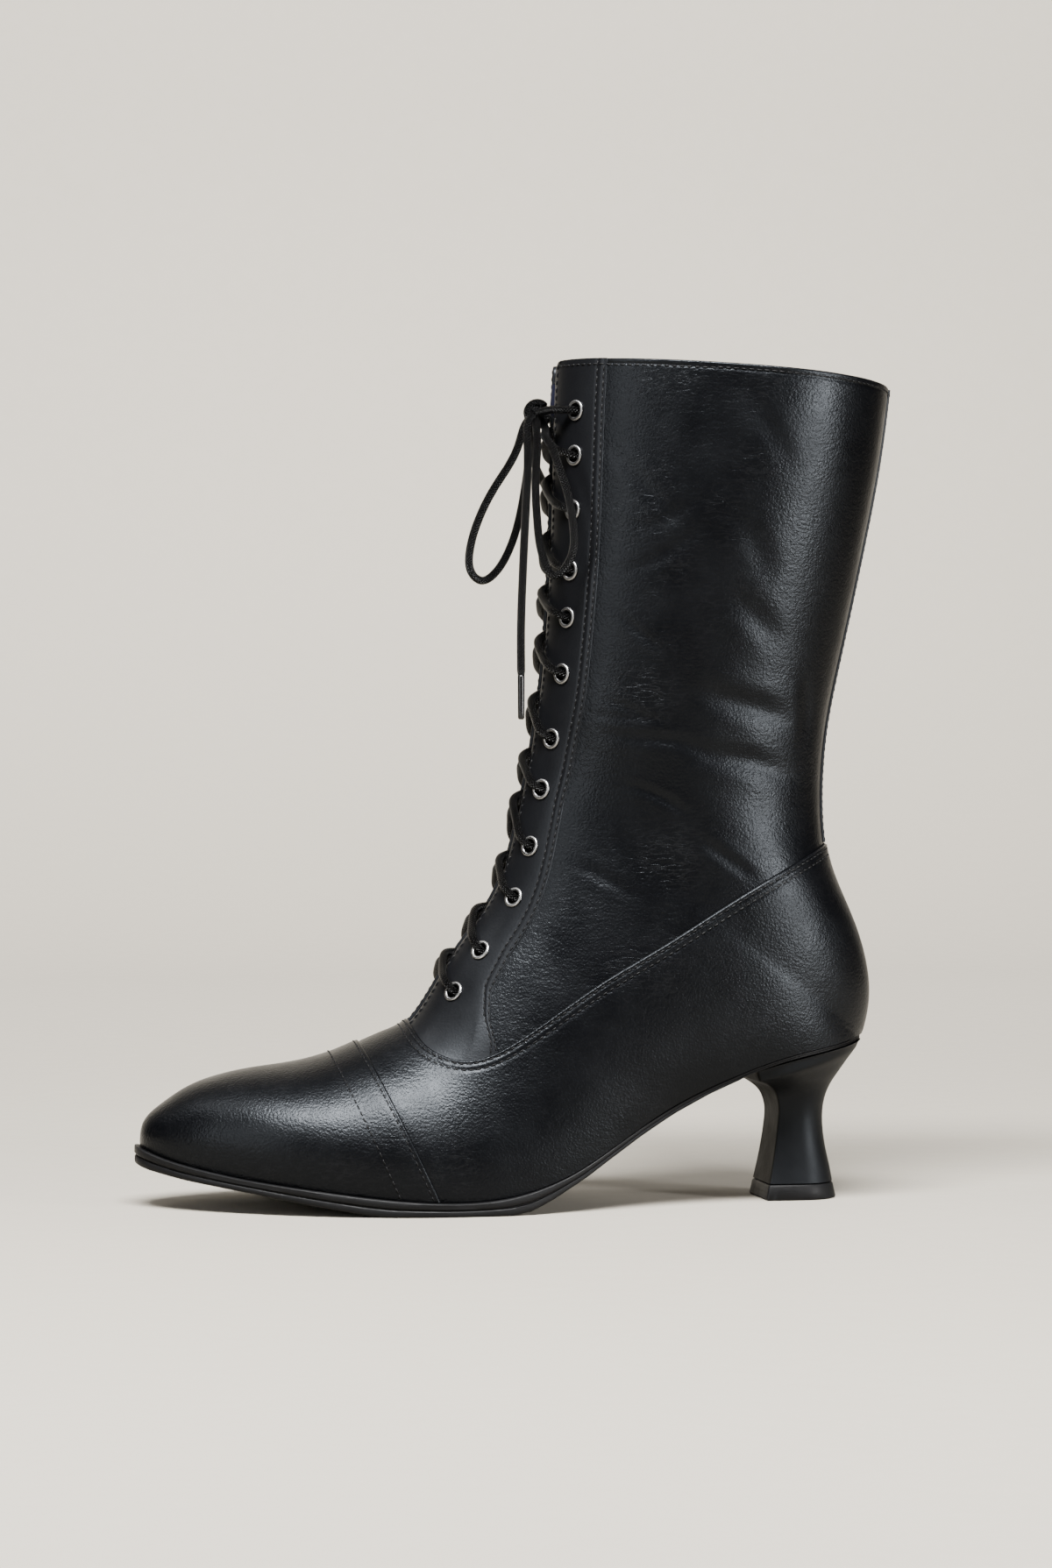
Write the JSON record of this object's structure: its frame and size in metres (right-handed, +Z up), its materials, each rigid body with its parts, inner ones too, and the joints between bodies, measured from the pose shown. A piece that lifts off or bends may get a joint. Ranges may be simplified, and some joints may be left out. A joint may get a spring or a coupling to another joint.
{
  "type": "lace-up boot",
  "caption": "Black leather lace-up ankle boot for the left foot, almond toe with a cap, waisted spool heel, metal eyelets and a round lace tied in a bow",
  "frame": {"origin": "centre of the underside of the heel's top lift, on the floor that the boot stands on", "axes": "+Z up; the toe points along -X; the outer side of the left foot faces -Y"},
  "size_m": [0.2604, 0.0894, 0.287],
  "materials": {
    "upper_leather": "soft black leather with a fine grain and creases",
    "galosh_leather": "smooth black leather, waxed to a satin shine",
    "tongue_leather": "matte blue-black leather",
    "insole_leather": "matte dark lining leather",
    "sole_rubber": "matte black",
    "heel_cover": "satin black",
    "eyelet_metal": "bright silver",
    "lace_cord": "round braided cord, waxed black",
    "aglet_plastic": "glossy black"
  },
  "bodies": {
    "root": {"upper": "upper_leather", "galosh": "galosh_leather", "toe_cap": "galosh_leather", "back_stay": "upper_leather", "eyestay_lateral": "upper_leather", "eyestay_medial": "upper_leather", "tongue": "tongue_leather", "insole": "insole_leather", "outsole": "sole_rubber", "heel": "heel_cover", "top_lift": "sole_rubber", "lace_crossings": "lace_cord", "lace_knot": "lace_cord", "lace_loop_front": "lace_cord", "lace_loop_side": "lace_cord", "lace_end_near": "lace_cord", "lace_end_far": "lace_cord", "aglet_near": "aglet_plastic", "aglet_far": "aglet_plastic", "eyelet_lateral_01": "eyelet_metal", "eyelet_lateral_02": "eyelet_metal", "eyelet_lateral_03": "eyelet_metal", "eyelet_lateral_04": "eyelet_metal", "eyelet_lateral_05": "eyelet_metal", "eyelet_lateral_06": "eyelet_metal", "eyelet_lateral_07": "eyelet_metal", "eyelet_lateral_08": "eyelet_metal", "eyelet_lateral_09": "eyelet_metal", "eyelet_lateral_10": "eyelet_metal", "eyelet_lateral_11": "eyelet_metal", "eyelet_lateral_12": "eyelet_metal", "eyelet_medial_01": "eyelet_metal", "eyelet_medial_02": "eyelet_metal", "eyelet_medial_03": "eyelet_metal", "eyelet_medial_04": "eyelet_metal", "eyelet_medial_05": "eyelet_metal", "eyelet_medial_06": "eyelet_metal", "eyelet_medial_07": "eyelet_metal", "eyelet_medial_08": "eyelet_metal", "eyelet_medial_09": "eyelet_metal", "eyelet_medial_10": "eyelet_metal", "eyelet_medial_11": "eyelet_metal", "eyelet_medial_12": "eyelet_metal"}
  },
  "joints": []
}
